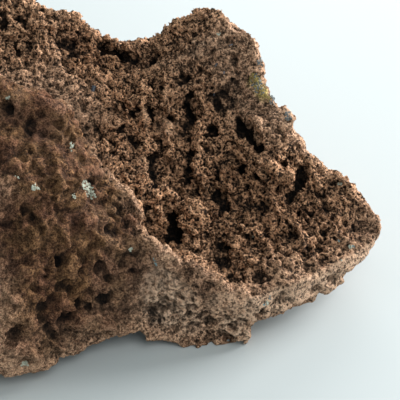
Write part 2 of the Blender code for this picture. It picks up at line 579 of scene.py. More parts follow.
SOFT_CUTS = strokes(
    0.6, Sense.IN, 0.0,
    ("dip left of the saddle", 16, 3.0, (66, 40), (74, 46), (82, 52)),
    ("slot in the saddle", 5, 3.0, (141, 48), (141, 66)),
    ("dark corner", 10, 4.0, (3, 12), (4, 25)),
    ("hole of the far slope", 8, 3.0, (20, 47), (30, 47)),
    ("hole above the slope", 8, 2.5, (60, 86)),
    ("bed of the blue crystal", 11, 3.0, (86, 94)),
    ("shaded dip in the wall", 14, 3.6, (122, 126), (128, 134), (138, 142)),
    ("groove of the wall, top", 13, 4.4, (188, 96), (190, 112), (188, 120)),
    ("groove of the wall", 13, 4.6, (190, 140), (189, 152), (186, 178)),
    ("shadow under the knob", 17, 4.5, (186, 108), (198, 114)),
    ("groove beside the ribs", 13, 4.6, (154, 148), (154, 164), (158, 184)),
    ("notch in the flank", 5, 2.5, (278, 128), (277, 142)),
    ("groove in the flank", 5, 2.5, (276, 146), (268, 154)),
    ("broad recess", 18, 5.0, (216, 190), (224, 196), (224, 206)),
    ("recess, right", 13, 3.6, (240, 198), (256, 202), (266, 208)),
    ("long curved groove, top", 7, 2.8, (76, 291), (62, 288), (53, 300)),
    ("dark curve", 6, 2.6, (60, 262), (68, 254), (80, 256), (85, 262)),
    ("dark curve, upper", 5, 2.2, (42, 214), (50, 208), (58, 211)),
    ("hollow of the near face", 11, 3.8, (26, 211), (34, 220)),
    ("hollow near the white patch", 9, 3.2, (52, 186), (58, 189)),
    ("upright slot, left", 6, 2.8, (15, 191), (15, 203)),
    ("upright slot, low", 6, 2.8, (34, 294), (35, 285)),
    ("channel of the foot", 7, 3.2, (8, 343), (14, 337), (20, 330)),
    ("hole of the foot", 8, 3.0, (25, 358), (30, 361)),
    ("dark seam of the foot", 7, 3.0, (50, 346), (54, 354), (64, 356)),
    ("slit over the arch", 5, 2.5, (130, 320), (138, 321)),
)

GENTLE_CUTS = strokes(
    0.7, Sense.IN, 0.0,
    ("striped recess", 17, 3.4, (220, 240), (226, 248)),
    ("long curved groove", 9, 3.0, (53, 303), (44, 312), (43, 320)),
    ("long curved groove, end", 9, 3.0, (51, 330), (58, 338)),
)

PITS = (
    *dots("knob pit", 5, 1.8, (228, 40), (221, 50), (225, 58), (212, 52), (203, 71), (238, 26), (245, 55)),
    *dots("slope pit", 5, 2.0, (88, 40), (97, 43), (83, 108), (91, 108), (91, 113), (36, 87), (108, 167),
          (160, 238)),
    *dots("slope hole", 7, 2.8, (99, 55), (110, 151), (112, 158), (131, 176), (137, 188)),
    *dots("wall hole", 7, 3.2, (207, 148), (229, 171), (237, 181), (192, 187), (165, 203), (177, 190),
          (243, 167)),
    *dots("slab hole", 9, 3.4, (243, 236), (276, 248), (288, 233), (306, 251), (258, 273), (286, 250),
          (325, 257)),
    *dots("slab pit", 6, 2.4, (338, 232), (353, 228), (262, 246), (276, 260), (282, 283), (291, 284),
          (306, 228), (208, 287), (227, 277), (234, 283), (252, 292), (360, 247), (332, 240), (309, 243)),
    *dots("near bubble", 8, 2.6, (61, 219), (44, 232), (52, 168), (26, 258), (82, 272), (28, 233)),
    *dots("small near bubble", 6, 2.2, (41, 161), (74, 219), (15, 265), (45, 280), (68, 281), (24, 304),
          (96, 319)),
    *dots("near pit", 5, 2.0, (93, 212), (69, 191), (54, 199), (61, 261), (5, 268), (3, 223), (53, 223),
          (54, 230), (97, 332), (132, 311), (127, 298), (112, 337), (74, 348), (84, 344), (14, 290),
          (48, 270), (75, 265)),
    *dots("upper near pit", 7, 2.6, (22, 116), (8, 128), (68, 132), (72, 136), (60, 126), (30, 150),
          (86, 160)),
    *dots("pit of the pale front", 4, 1.4, (152, 311), (160, 290), (172, 284), (176, 300), (182, 307),
          (166, 300), (181, 297), (178, 283), (155, 302), (231, 303), (234, 314), (248, 307), (240, 300),
          (224, 328)),
    *dots("pit of the rim", 3, 1.0, (268, 292), (265, 303), (301, 285), (296, 296), (320, 274), (311, 275)),
)

RIBS = strokes(
    0.6, Sense.OUT, 0.0,
    ("first rib of the wall", 10, 3.6, (142, 84), (144, 120), (146, 150)),
    ("second rib of the wall", 12, 4.4, (163, 76), (168, 104), (168, 132), (170, 160)),
    ("third rib of the wall", 13, 4.4, (203, 96), (202, 130), (198, 170)),
    ("foot of the second rib", 16, 4.5, (166, 196), (174, 204)),
    ("foot of the third rib", 15, 4.5, (198, 176), (206, 186)),
    ("thin rib in the recess", 4, 2.5, (216, 198), (217, 210)),
    ("thin rib in the recess, right", 4, 2.5, (229, 192), (229, 211)),
    ("lobe over the flank slot", 12, 2.5, (252, 116), (262, 130), (266, 140)),
    ("tip of the tan lump", 10, 2.0, (288, 180), (290, 186)),
    ("rib by the crest", 6, 2.6, (156, 192), (159, 206), (163, 226)),
    ("diagonal rib of the slab", 8, 4.0, (262, 186), (270, 198), (280, 214)),
    ("slab ridge", 7, 2.0, (232, 240), (240, 252), (250, 262)),
    ("slab ridge, middle", 6, 2.2, (262, 232), (268, 250), (280, 268)),
    ("slab ridge, right", 6, 2.4, (296, 228), (304, 246), (318, 268)),
    ("slab ridge, far right", 6, 2.0, (322, 214), (334, 226), (352, 244)),
    ("lip of the crest", 10, 2.8, (122, 190), (132, 204), (140, 218)),
    ("brow of the foot lump", 26, 2.4, (60, 300), (84, 316), (100, 326)),
    ("lump of the foot", 24, 2.0, (20, 346), (36, 356)),
)

ROUND_LUMPS = strokes(
    0.8, Sense.OUT, 0.0,
    ("lump on the far edge", 16, 2.4, (284, 112), (291, 122)),
    ("shoulder of the knob, left", 14, 2.6, (154, 42), (164, 37), (171, 31)),
    ("near crest", 36, 4.2, (0, 95), (15, 99), (30, 101), (45, 107), (60, 113)),
    ("near crest, left", 34, 3.0, (0, 93)),
)

EDGES = strokes(
    0.7, Sense.OUT, 0.0,
    ("far edge of the slab", 14, 2.4, (333, 176), (356, 194), (372, 214), (379, 232)),
    ("shoulder of the knob", 13, 2.0, (241, 24), (251, 38), (254, 48)),
)

BLOCKS = strokes(
    0.4, Sense.OUT, 0.0,
    ("ledge block", 22, 7.0, (190, 214), (200, 224)),
)

TAN_LUMP = strokes(
    0.5, Sense.OUT, 0.0,
    ("tan lump", 22, 6.5, (272, 172), (284, 182)),
)

RIM_LUMPS = strokes(
    0.8, Sense.OUT, 1.0,
    ("lump under the rim, left", 12, 1.8, (278, 306), (288, 306)),
    ("lump under the rim", 17, 2.8, (298, 301), (312, 298)),
    ("lump under the rim, right", 14, 2.4, (324, 287), (334, 283)),
    ("lump under the rim, end", 13, 2.0, (341, 277), (352, 270)),
)

TOES = strokes(
    0.5, Sense.OUT, 1.0,
    ("corner of the foot", 13, 3.6, (238, 332), (250, 331)),
    ("toe", 12, 2.6, (188, 340), (197, 340)),
)

FOOT_BROW = strokes(
    0.6, Sense.OUT, 1.6,
    ("brow of the middle foot", 18, 5.0, (152, 326), (164, 328), (178, 334)),
)

KNUCKLES = (
    *dots("lump of the low face", 26, 3.0, (30, 352), (8, 345), (78, 324), (108, 322), (18, 300), (60, 347),
          sense=Sense.OUT, soft=0.8),
    *dots("knuckle", 17, 2.4, (44, 221), (86, 222), (100, 242), (22, 226), (60, 178), (30, 280), (84, 284),
          (118, 250), (125, 272), (66, 244), (20, 170), (80, 180), (10, 300), (30, 318),
          sense=Sense.OUT, soft=0.9),
)

HOLLOWS = STEEP_CUTS + CUTS + SOFT_CUTS + GENTLE_CUTS + PITS
LUMPS = RIBS + ROUND_LUMPS + EDGES + BLOCKS + TAN_LUMP + RIM_LUMPS + TOES + FOOT_BROW + KNUCKLES


@dataclass(frozen=True)
class Patch:
    """A round patch of a finish.

    Attributes:
        at: view coordinate of its middle.
        radius: full reach in millimetres.
        strength: how strong it is in the middle.
        core: share of the radius that is as strong as the middle.
    """

    at: Pixel
    radius: float
    strength: float
    core: float = 0.35

    def weight(self, points: np.ndarray, surface: BVHTree) -> np.ndarray:
        """Strength at each point, for points in millimetres."""
        place, _ = VIEW.hit(surface, self.at)
        gap = np.linalg.norm(points - np.array(place), axis=1)
        return self.strength * (1.0 - eased(gap, self.core * self.radius, self.radius))


def patches(radius: float, strength: float, *places: Pixel) -> tuple[Patch, ...]:
    """Patches of one radius and strength."""
    return tuple(Patch(place, radius, strength) for place in places)


def painted(points: np.ndarray, spread: tuple[Patch, ...], surface: BVHTree) -> np.ndarray:
    """The strongest of several patches at each point."""
    return np.max([patch.weight(points, surface) for patch in spread], axis=0)


BROKEN = (
    *patches(30, 1.0, (220, 215), (255, 215)),
    *patches(28, 1.0, (160, 130), (190, 170), (225, 165), (175, 215)),
    *patches(26, 1.0, (100, 60), (140, 90), (190, 130), (290, 185)),
    *patches(12, 1.0, (112, 140), (122, 162), (138, 184), (152, 208)),
    *patches(10, 1.0, (166, 234), (190, 254)),
    *patches(26, 0.8, (320, 200), (300, 225), (230, 255), (20, 30)),
    *patches(18, 0.7, (190, 90)),
)

PALE_FACE = (
    *patches(15, 1.0, (170, 304)),
    *patches(11, 0.85, (160, 288)),
    *patches(12, 0.7, (240, 328)),
    *patches(8, 0.7, (256, 308)),
    *patches(10, 0.5, (190, 322)),
    *patches(8, 0.45, (196, 46)),
    *patches(12, 0.4, (222, 306)),
    # Painted highlight: the weak patches at (168, 128), (146, 116) and (166, 100) lighten the wall's ribs.
    *patches(8, 0.35, (168, 128)),
    *patches(7, 0.35, (286, 118)),
    *patches(6, 0.3, (146, 116)),
    *patches(6, 0.25, (166, 100)),
)

RIM = (
    *patches(10, 1.0, (276, 302), (290, 297), (304, 291), (318, 285), (332, 277), (346, 268), (360, 258),
             (373, 246)),
    *patches(9, 0.8, (264, 308)),
)

WORN = (
    *patches(32, 1.0, (30, 220), (40, 300)),
    *patches(30, 1.0, (20, 130), (60, 150), (90, 240)),
    *patches(26, 1.0, (110, 290)),
    *patches(24, 1.0, (15, 350)),
    *patches(8, 1.0, (167, 124)),
    *patches(7, 0.9, (172, 134)),
    *patches(5, 0.8, (146, 116)),
    *patches(16, 0.7, (150, 270)),
    *patches(14, 0.35, (170, 298)),
    *patches(16, 0.3, (215, 312)),
)

# Brown zone that is partly painted shade: the strong patches on the near face are its darker brown with its
# own shade painted in; the weaker ones from (250, 200) on lie in the recesses, the saddle, the valley and
# the slab and are painted shade.
UMBER_AND_SHADE = (
    *patches(30, 1.0, (40, 235), (60, 285)),
    *patches(28, 1.0, (50, 165), (60, 200), (75, 245)),
    *patches(26, 1.0, (10, 140)),
    *patches(14, 1.0, (8, 92), (40, 104)),
    *patches(12, 1.0, (74, 124), (90, 160), (104, 190), (124, 222)),
    *patches(26, 0.9, (45, 125)),
    *patches(24, 0.9, (85, 185)),
    *patches(22, 0.9, (70, 140)),
    *patches(24, 0.8, (45, 320)),
    *patches(22, 0.8, (10, 105), (105, 220), (110, 265)),
    *patches(22, 0.7, (100, 300)),
    *patches(18, 0.6, (125, 245)),
    *patches(18, 0.42, (250, 200)),
    *patches(16, 0.42, (225, 200)),
    *patches(16, 0.4, (232, 170), (200, 275)),
    *patches(14, 0.35, (75, 46), (110, 52)),
    *patches(30, 0.3, (300, 225)),
    *patches(16, 0.3, (185, 185)),
    *patches(12, 0.3, (160, 240)),
    *patches(10, 0.3, (145, 62)),
    *patches(28, 0.28, (270, 250)),
    *patches(26, 0.28, (340, 225)),
    *patches(26, 0.15, (330, 275)),
)

LICHEN = (
    *patches(6.5, 0.5, (263, 92)),
    *patches(5.5, 0.5, (255, 82)),
    *patches(4.5, 0.5, (268, 86)),
)


# ---------------------------------------------------------------- the rock's mesh


@dataclass
class RockBody:
    """The stone itself: one closed mesh, worked in millimetres.

    Attributes:
        smoothing: passes that round the solid's facets.
        coarse_voxel: mesh step while the strokes are cut.
        fine_voxel: mesh step while the froth is cut.
        triangles: the most that the finished mesh has.
        seen_share: the part of them on the side that the view shows.
        view_margin: how far past the frame's edge the fine mesh runs, in view pixels.
        turned_away: how far the skin may turn from the eye and still count as seen.
        wander: how far a stroke strays, in view pixels.
        swelling: how much a stroke's width may grow or shrink along it.
        rim_tops: the skin's normal upwards where the pale rim gives way to the slab's top.
        merge: how near the solid's loose corners are joined.
    """

    smoothing: int = 3
    coarse_voxel: float = 0.7
    fine_voxel: float = 0.45
    triangles: int = 198500
    seen_share: float = 0.74
    view_margin: float = 12.0
    turned_away: float = 0.25
    wander: float = 3.6
    swelling: float = 0.6
    rim_tops: tuple[float, float] = (0.35, 0.6)
    quick: tuple[float, float, int] = (1.0, 0.7, 160000)
    merge: float = 0.01

    def build(self) -> bpy.types.Object:
        """Makes the finished rock.

        Returns:
            The rock's object, in millimetres, with its painted attributes.
        """
        skin = self.skin()
        self.skin_tree = tree_of(skin.data)
        self.paint_skin(skin.data)
        survey = survey_tree(skin)
        piece = new_object("rock", skin.data.copy())
        self.remesh(piece, self.coarse_voxel)
        self.chisel(piece, HOLLOWS + LUMPS)
        self.remesh(piece, self.coarse_voxel)
        apply_nodes(piece, survey, crag_tree())
        self.remesh(piece, self.fine_voxel)
        apply_nodes(piece, survey, froth_tree())
        self.thin(piece)
        self.place_points(piece.data, points_of(piece.data))
        apply_nodes(piece, survey, proud_tree())
        bpy.data.objects.remove(skin)
        piece.data.shade_smooth()
        return piece

    def skin(self) -> bpy.types.Object:
        """The solid's outside, merged, subdivided and rounded, in millimetres."""
        build = bmesh.new()
        build.from_mesh(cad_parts[NODE].data)
        bmesh.ops.remove_doubles(build, verts=build.verts, dist=self.merge * MM)
        bmesh.ops.scale(build, vec=(1.0 / MM,) * 3, verts=build.verts)
        bmesh.ops.subdivide_edges(build, edges=build.edges, cuts=1, use_grid_fill=True)
        for _ in range(self.smoothing):
            bmesh.ops.smooth_vert(
                build, verts=build.verts, factor=0.5, use_axis_x=True, use_axis_y=True, use_axis_z=True
            )
        piece = made_object("skin", build)
        piece.data.shade_smooth()
        return piece

    def remesh(self, piece: bpy.types.Object, step: float) -> None:
        """Rebuilds the mesh in even quads of that step."""
        finish = piece.modifiers.new("even mesh", "REMESH")
        finish.mode = "VOXEL"
        finish.voxel_size = step
        apply_modifiers(piece)

    def chisel(self, piece: bpy.types.Object, work: tuple[Stroke, ...]) -> None:
        """Moves the vertices under each stroke.

        Args:
            piece: the rock, in millimetres.
            work: what to cut and raise.
        """
        points = points_of(piece.data)
        seen, far = VIEW.project(points)
        drift = ragged(points)
        seen = seen + self.wander * drift[:, :2]
        swelling = 1.0 + self.swelling * drift[:, 2]
        moved = points.copy()
        for stroke in work:
            chosen, move = stroke.pressed(seen, far, swelling, self.skin_tree)
            moved[chosen] += move
        self.place_points(piece.data, moved)

    def place_points(self, mesh: bpy.types.Mesh, points: np.ndarray) -> None:
        """Gives the vertices new places, none of them below the ground."""
        points[:, 2] = np.maximum(points[:, 2], 0.0)
        mesh.vertices.foreach_set("co", points.ravel())
        mesh.update()

    def thin(self, piece: bpy.types.Object) -> None:
        """Brings the mesh under its triangle limit: the hidden side first, then the seen one."""
        hidden = ~self.in_view(piece.data)
        total, own = self.count(piece.data, hidden)
        hidden_limit = self.triangles * (1.0 - self.seen_share)
        self.collapse(piece, hidden, (total - own + hidden_limit) / total)
        seen = self.in_view(piece.data)
        total, _ = self.count(piece.data, seen)
        self.collapse(piece, seen, self.triangles / total)

    def count(self, mesh: bpy.types.Mesh, chosen: np.ndarray) -> tuple[int, int]:
        """The mesh's triangles, and those whose first corner is chosen."""
        mesh.calc_loop_triangles()
        corners = np.empty(len(mesh.loop_triangles) * 3, "i")
        mesh.loop_triangles.foreach_get("vertices", corners)
        return len(mesh.loop_triangles), np.count_nonzero(chosen[corners[::3]])

    def collapse(self, piece: bpy.types.Object, chosen: np.ndarray, ratio: float) -> None:
        """Collapses edges among the chosen vertices and leaves the others as they are.

        Args:
            piece: the rock, in millimetres.
            chosen: True for each vertex that may go.
            ratio: the part of all triangles that stays.
        """
        group = piece.vertex_groups.new(name="thinned")
        group.add(np.flatnonzero(chosen).tolist(), 1.0, "REPLACE")
        finish = piece.modifiers.new("thin", "DECIMATE")
        finish.ratio = ratio
        finish.vertex_group = group.name
        finish.vertex_group_factor = 1000.0
        apply_modifiers(piece)
        piece.vertex_groups.clear()

    def in_view(self, mesh: bpy.types.Mesh) -> np.ndarray:
        """True for each vertex that the view can show."""
        seen, _ = VIEW.project(points_of(mesh))
        facing = np.empty(len(mesh.vertices), "f")
        mesh.attributes["facing"].data.foreach_get("value", facing)
        near, far = -self.view_margin, VIEW.frame_side + self.view_margin
        inside = (seen > near).all(axis=1) & (seen < far).all(axis=1)
        return inside & (facing < self.turned_away)

    def paint_skin(self, mesh: bpy.types.Mesh) -> None:
        """Paints the skin with the zones of every finish.

        Args:
            mesh: the skin's mesh, in millimetres.
        """
        points = points_of(mesh)
        up = normals_of(mesh)[:, 2]
        away = normals_of(mesh) @ VIEW.axes[2]
        zones = {
            name: painted(points, spread, self.skin_tree)
            for name, spread in (("broken", BROKEN), ("bedded", RIM), ("pale", PALE_FACE),
                                 ("lichen", LICHEN), ("worn", WORN), ("umber", UMBER_AND_SHADE))
        }
        zones["bedded"] *= 1.0 - eased(up, *self.rim_tops)
        zones["broken"] = np.maximum(zones["broken"], 0.8 * self.far_froth(points))
        zones["pale"] = np.maximum(zones["pale"], 0.7 * zones["bedded"])
        # Painted shade: faces turned away from the view get part of the dark brown.
        zones["umber"] = np.maximum(zones["umber"], 0.45 * eased(away, 0.2, 0.55))
        for name, values in zones.items():
            paint(mesh, name, values)

    def far_froth(self, points: np.ndarray) -> np.ndarray:
        """Where the far side is broken: slow waves of 10 to 25 mm, from 0 to 1."""
        x, y, z = points.T
        drift = np.sin(x / 17.0 + 1.1) + np.sin(y / 14.0 + z / 21.0) + np.sin(z / 11.0 - x / 24.0)
        return eased(y - x * 0.3, 20.0, 45.0) * eased(drift, 0.2, 1.2)


def ragged(points: np.ndarray, size: float = 3.0) -> np.ndarray:
    """Three wandering numbers from -1 to 1 at each point, which make a stroke's edge uneven."""
    noise.seed_set(DRIFT_SEED)
    return np.array([noise.noise_vector(Vector(point) / size)[:] for point in points])


def new_object(name: str, data: bpy.types.ID) -> bpy.types.Object:
    """Puts a mesh, a lamp or a camera in the scene."""
    piece = bpy.data.objects.new(name, data)
    bpy.context.scene.collection.objects.link(piece)
    return piece


def made_object(name: str, build: bmesh.types.BMesh) -> bpy.types.Object:
    """Puts a finished build in the scene and frees it."""
    mesh = bpy.data.meshes.new(name)
    build.to_mesh(mesh)
    build.free()
    return new_object(name, mesh)


def apply_nodes(piece: bpy.types.Object, *trees: bpy.types.NodeTree) -> None:
    """Runs geometry node trees on a piece, one after the other, and keeps the result."""
    for tree in trees:
        finish = piece.modifiers.new(tree.name, "NODES")
        finish.node_group = tree
    apply_modifiers(piece)


def apply_modifiers(piece: bpy.types.Object) -> None:
    """Makes what the modifiers give the piece's own mesh."""
    graph = bpy.context.evaluated_depsgraph_get()
    mesh = bpy.data.meshes.new_from_object(piece.evaluated_get(graph))
    piece.modifiers.clear()
    piece.data = mesh


def points_of(mesh: bpy.types.Mesh) -> np.ndarray:
    """A mesh's vertices as an n by 3 array."""
    flat = np.empty(len(mesh.vertices) * 3)
    mesh.vertices.foreach_get("co", flat)
    return flat.reshape(-1, 3)


def normals_of(mesh: bpy.types.Mesh) -> np.ndarray:
    """The mesh's vertex normals as an n by 3 array."""
    normals = np.empty(len(mesh.vertices) * 3, "f")
    mesh.vertex_normals.foreach_get("vector", normals)
    return normals.reshape(-1, 3)


def paint(mesh: bpy.types.Mesh, name: str, values: np.ndarray) -> None:
    """Writes a number on each vertex."""
    layer = mesh.attributes.get(name) or mesh.attributes.new(name, "FLOAT", "POINT")
    layer.data.foreach_set("value", values.astype("f"))


def tree_of(mesh: bpy.types.Mesh) -> BVHTree:
    """A search tree of a mesh's faces."""
    corners = [vertex.co.copy() for vertex in mesh.vertices]
    return BVHTree.FromPolygons(corners, [tuple(face.vertices) for face in mesh.polygons])


@dataclass(frozen=True)
class Grit:
    """Grains and broken bubble walls that stand in the rock's skin, joined as one mesh.

    Attributes:
        name: the piece's name.
        density: grains in each square millimetre where the zone is full.
        least: smallest grain's half widths, in millimetres.
        most: largest grain's half widths, in millimetres.
        froth: share of the density on broken froth; the rest is on the crust.
        seed: picks the scatter.
        clear: height above the ground where grains start, in millimetres.
        highlight_and_shade: how far proud a grain counts for its painted highlight, in millimetres.
    """

    name: str
    density: float
    least: tuple[float, float, float]
    most: tuple[float, float, float]
    froth: float
    seed: int
    clear: float = 1.3
    highlight_and_shade: float = 0.25

    def grow(self, rock: bpy.types.Object) -> bpy.types.Object:
        """Scatters the grains.

        Args:
            rock: the stone, in millimetres.

        Returns:
            The piece, in millimetres, with the stone's zones on it.
        """
        grain = self.grain()
        piece = new_object(self.name, bpy.data.meshes.new(self.name))
        apply_nodes(piece, self.scatter(rock, grain))
        bpy.data.objects.remove(grain)
        return piece

    def grain(self) -> bpy.types.Object:
        """One grain: two low pyramids back to back, eight faces."""
        build = bmesh.new()
        bmesh.ops.create_cone(build, segments=4, radius1=1.0, radius2=0.0, depth=1.4)
        tip = build.verts.new((0.2, -0.15, -1.6))
        rim = [edge for edge in build.edges if edge.is_boundary]
        for edge in rim:
            build.faces.new((*edge.verts, tip))
        bmesh.ops.recalc_face_normals(build, faces=build.faces)
        return made_object("grain", build)

    def scatter(self, rock: bpy.types.Object, grain: bpy.types.Object) -> bpy.types.NodeTree:
        """The tree that lays a turned, scaled grain at each point and makes all of them real.

        Args:
            rock: the stone.
            grain: one grain.

        Returns:
            The tree.
        """
        graph, _ = geometry_group(self.name)
        crust = 1.0 - self.froth
        share = graph.total(crust, (graph.attribute("broken"), self.froth - crust))
        above = graph.math("GREATER_THAN", graph.part_of(graph.position(), "Z"), self.clear)
        points = graph.node("GeometryNodeDistributePointsOnFaces", {
            "Mesh": graph.mesh_of(rock),
            "Density": graph.product(share, above, self.density),
            "Seed": self.seed,
        }, distribute_method="RANDOM")["Points"]
        grains = graph.node("GeometryNodeInstanceOnPoints", {
            "Points": points,
            "Instance": graph.mesh_of(grain),
            "Rotation": graph.random_vector((0.0,) * 3, (math.tau,) * 3, self.seed + 1),
            "Scale": graph.random_vector(self.least, self.most, self.seed + 2),
        })[0]
        real = graph.node("GeometryNodeRealizeInstances", {0: grains})[0]
        # The proud value gives every grain a painted highlight in the stone's colour.
        return finished(graph, graph.stored(real, "proud", self.highlight_and_shade))


GRIT: tuple[Grit, ...] = (
    Grit("froth_grit", 0.42, (0.15, 0.15, 0.2), (0.42, 0.42, 0.7), 0.9, 11),
    Grit("crust_grit", 0.25, (0.12, 0.12, 0.12), (0.34, 0.34, 0.34), 0.3, 23),
)


# ---------------------------------------------------------------- reliefs


def geometry_group(name: str) -> tuple[Graph, Socket]:
    """Starts a geometry group.

    Args:
        name: the group's name.

    Returns:
        The graph and the incoming geometry.
    """
    tree = bpy.data.node_groups.new(name, "GeometryNodeTree")
    tree.interface.new_socket("Geometry", in_out="INPUT", socket_type="NodeSocketGeometry")
    tree.interface.new_socket("Geometry", in_out="OUTPUT", socket_type="NodeSocketGeometry")
    graph = Graph(tree)
    return graph, graph.node("NodeGroupInput")[0]


def finished(graph: Graph, result: Socket) -> bpy.types.NodeTree:
    """Sends the result out of a geometry group, which is then complete."""
    graph.node("NodeGroupOutput", {0: result})
    return graph.tree


ZONES = ("broken", "pale", "bedded", "lichen", "worn", "umber")


def survey_tree(skin: bpy.types.Object) -> bpy.types.NodeTree:
    """Writes each point's zones, its depth below the skin, and how far the skin there is turned away.

    Args:
        skin: the painted skin, in millimetres.

    Returns:
        The tree.
    """
    graph, source = geometry_group("survey")
    outside = graph.mesh_of(skin)
    near = graph.node("GeometryNodeProximity", {0: outside}, target_element="FACES")
    normal = graph.sampled(outside, "FLOAT_VECTOR", graph.normal())
    gap = graph.vector("SUBTRACT", graph.position(), near["Position"])
    side = graph.math("SIGN", graph.vector("DOT_PRODUCT", gap, normal))
    values = {zone: graph.sampled(outside, "FLOAT", graph.attribute(zone)) for zone in ZONES}
    values["depth"] = graph.product(near["Distance"], side, -1.0)
    values["facing"] = graph.vector("DOT_PRODUCT", normal, tuple(VIEW.axes[2]))
    for name, value in values.items():
        source = graph.stored(source, name, value)
    return finished(graph, source)


NEAR_STEPS = 4
WIDE_STEPS = 110


def proud_tree() -> bpy.types.NodeTree:
    """Writes how far each point stands proud of its near and its wider surroundings, in millimetres."""
    graph, source = geometry_group("proud")
    place, facing = graph.position(), graph.normal()
    for name, steps in (("proud", NEAR_STEPS), ("cave", WIDE_STEPS)):
        gap = graph.vector("SUBTRACT", place, graph.blurred(place, steps))
        normal = graph.vector("NORMALIZE", graph.blurred(facing, steps))
        source = graph.stored(source, name, graph.vector("DOT_PRODUCT", gap, normal))
    return finished(graph, source)


def raised(graph: Graph, source: Socket, height: Socket) -> bpy.types.NodeTree:
    """Moves the points along their softened normals, with the feet flat and nothing below the ground.

    Args:
        graph: the relief's graph.
        source: incoming geometry.
        height: the move, in millimetres.

    Returns:
        The finished tree.
    """
    place = graph.position()
    off_ground = graph.span(graph.part_of(place, "Z"), 0.2, 2.0)
    normal = graph.vector("NORMALIZE", graph.blurred(graph.normal(), 3))
    target = graph.vector("ADD", place, graph.scaled(normal, graph.product(height, off_ground)))
    above = graph.vector("MAXIMUM", target, (-1000.0, -1000.0, 0.0))
    return finished(graph, graph.node("GeometryNodeSetPosition", {"Geometry": source, "Position": above})[0])


FLOW_TURN = (32.0, 0.0, 42.0)
RIM_TURN = (0.0, 0.0, -40.0)


def rim_beds(graph: Graph, place: Socket) -> Socket:
    """Coordinates drawn out along the rim, for its layers."""
    return graph.combed(graph.warped(place, size=8.0, reach=0.8), RIM_TURN, stretch=8.0)


def crag_tree() -> bpy.types.NodeTree:
    """Relief of 4 to 20 mm: swellings, rounded lobes, steep caves, and strands that run down the slope."""
    graph, source = geometry_group("crags")
    place = graph.position()
    worn, umber = graph.attribute("worn"), graph.attribute("umber")
    swell = graph.math("SUBTRACT", graph.noise(place, size=13.0), 0.55)
    hollow = graph.noise(graph.warped(place, size=4.0, reach=2.0), size=5.5, detail=3.0, roughness=0.6)

    lobes = graph.bubbles(graph.warped(place, size=6.0, reach=3.0), size=7.0, least=0.35, most=0.72)
    strands = graph.combed(graph.warped(place, size=9.0, reach=2.0), FLOW_TURN, stretch=4.0)
    grooves = graph.span(graph.crease(strands, size=3.8), 0.0, 0.09, start=-3.0, end=0.0)
    caves = graph.span(hollow, 0.37, 0.45, start=-4.6, end=0.0)
    layers = graph.noise(graph.warped(place, size=8.0, reach=4.0), size=7.5, detail=4.0, roughness=0.6)
    ledges = graph.total(-5.4, (graph.math("SNAP", layers, 0.11), 10.0))
    rough = graph.total(grooves, (caves, 1.0), (lobes, 0.6), (ledges, 1.0), (swell, 4.0))
    rough = graph.faded(rough, worn, loss=0.85)

    knobs = graph.bubbles(graph.warped(place, size=3.0, reach=1.6), size=4.6, least=0.3, most=0.66)
    folds = graph.crease(graph.warped(place, size=9.0, reach=3.0), size=9.0)
    folds = graph.product(umber, graph.span(folds, 0.0, 0.14, start=-2.6, end=0.6))
    holes = graph.bubbles(graph.warped(place, size=3.5, reach=1.4), size=7.0, least=-0.1, most=0.36)
    slots = graph.product(umber, graph.span(hollow, 0.33, 0.41, start=-2.6, end=0.2))
    slots = graph.math("ADD", graph.span(hollow, 0.26, 0.34, start=-1.0, end=0.0), slots)
    crust = graph.total(-1.0, (folds, 1.0), (knobs, 0.5), (swell, 7.5), (holes, -0.7), (slots, 1.0))
    crust = graph.faded(crust, worn, loss=0.45)

    cut_depth = graph.math("ABSOLUTE", graph.attribute("depth"))
    uncut = graph.span(cut_depth, 1.0, 3.6, start=1.0, end=0.25)
    uncut = graph.faded(uncut, graph.attribute("bedded"), loss=0.7)
    height = graph.blend(graph.attribute("broken"), crust, rough)
    return raised(graph, source, graph.product(height, uncut))


def froth_tree() -> bpy.types.NodeTree:
    """Relief of 1 to 3 mm: open bubbles and grit, stronger in some places than in others."""
    graph, source = geometry_group("froth")
    place, worn = graph.position(), graph.attribute("worn")
    patchy = graph.span(graph.noise(place, size=9.0), 0.35, 0.65)
    foam = graph.bubbles(graph.warped(place, size=2.0, reach=0.9), size=2.6, least=0.0, most=0.5)
    foam = graph.product(foam, patchy)
    small = graph.bubbles(graph.warped(place, size=1.2, reach=0.5), size=1.8, least=0.1, most=0.5)
    grit = graph.math("SUBTRACT", graph.noise(place, size=1.9, detail=3.0, roughness=0.7), 0.48)
    strands = graph.combed(graph.warped(place, size=5.0, reach=0.8), FLOW_TURN, stretch=3.6)
    fibre = graph.math("SUBTRACT", graph.noise(strands, size=1.9, detail=3.0, roughness=0.65), 0.48)
    rough = graph.total(graph.product(foam, -1.2), (small, -0.8), (fibre, 3.2), (grit, 1.2))
    rough = graph.faded(rough, worn, loss=0.6)
    crust = graph.total(graph.product(foam, -0.6), (small, -0.5), (grit, 1.8))
    crust = graph.faded(crust, worn, loss=0.4)
    layers = graph.noise(rim_beds(graph, place), size=1.7, detail=2.0, roughness=0.6)
    height = graph.blend(graph.attribute("broken"), crust, rough)
    height = graph.blend(graph.attribute("bedded"), height, graph.total(-1.3, (layers, 2.6)))
    return raised(graph, source, height)


# ---------------------------------------------------------------- finishes


@dataclass(frozen=True)
class Tint:
    """A colour named by its usual eight-bit values."""

    red: int
    green: int
    blue: int

    @property
    def linear(self) -> tuple[float, float, float, float]:
        """The colour in scene-linear light, with full alpha."""
        parts = [part / 255.0 for part in (self.red, self.green, self.blue)]
        lit = [c / 12.92 if c <= 0.04045 else ((c + 0.055) / 1.055) ** 2.4 for c in parts]
        return (*lit, 1.0)


